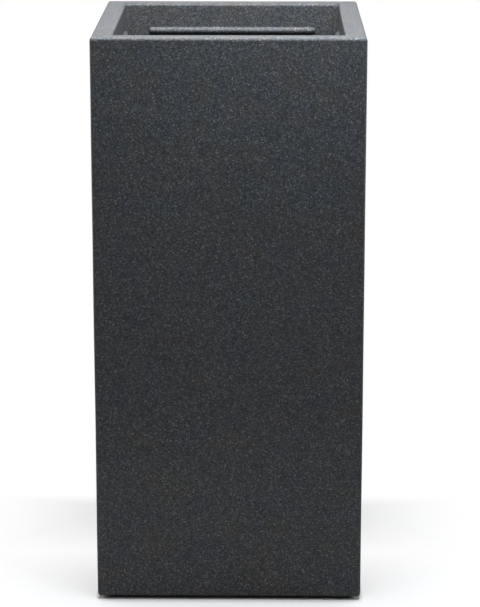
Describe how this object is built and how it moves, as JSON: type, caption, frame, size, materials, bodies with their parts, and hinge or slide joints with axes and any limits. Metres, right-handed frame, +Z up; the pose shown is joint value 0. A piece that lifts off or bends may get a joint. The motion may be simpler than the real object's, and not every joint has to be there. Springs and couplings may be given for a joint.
{
  "type": "tall square planter",
  "caption": "Tall square fibreglass floor planter with a flat turned-in rim, half-round inner rails, a lift-out shelf on corner brackets, rubber feet and a drain plug.",
  "frame": {"origin": "centre of the footprint, on the floor that the feet stand on", "axes": "+Z up, front towards -Y, +X to the right as seen from the front"},
  "size_m": [0.33, 0.33, 0.711],
  "materials": {
    "speckled_gelcoat": "satin charcoal gelcoat with a fine stone-like speckle, on glass fibre laminate",
    "bare_laminate": "unpolished glass fibre laminate with a grey flow coat",
    "sealed_timber": "planed softwood, brushed with resin",
    "shelf_plastic": "moulded black polypropylene, fine matt grain",
    "black_rubber": "moulded, matt",
    "stainless_steel": "plain, bright"
  },
  "bodies": {
    "planter": {"planter_shell": "speckled_gelcoat", "rail_front": "speckled_gelcoat", "rail_right": "speckled_gelcoat", "rail_back": "speckled_gelcoat", "rail_left": "speckled_gelcoat", "rim_batten_front": "sealed_timber", "rim_batten_right": "sealed_timber", "rim_batten_back": "sealed_timber", "rim_batten_left": "sealed_timber", "base_panel": "bare_laminate", "foot_front_left": "black_rubber", "foot_front_right": "black_rubber", "foot_back_right": "black_rubber", "foot_back_left": "black_rubber", "foot_screw_front_left": "stainless_steel", "foot_screw_front_right": "stainless_steel", "foot_screw_back_right": "stainless_steel", "foot_screw_back_left": "stainless_steel", "drain_grommet": "black_rubber", "shelf_bracket_front_left": "bare_laminate", "shelf_bracket_front_right": "bare_laminate", "shelf_bracket_back_right": "bare_laminate", "shelf_bracket_back_left": "bare_laminate"},
    "shelf": {"planting_shelf": "shelf_plastic"},
    "plug": {"drain_plug": "black_rubber"}
  },
  "joints": [
    {"name": "shelf_lift", "type": "slide", "parent": "planter", "child": "shelf", "axis": [0, 0, 1], "range_m": [0, 0.35]},
    {"name": "plug_pull", "type": "slide", "parent": "planter", "child": "plug", "axis": [0, 0, 1], "range_m": [0, 0.06]}
  ]
}
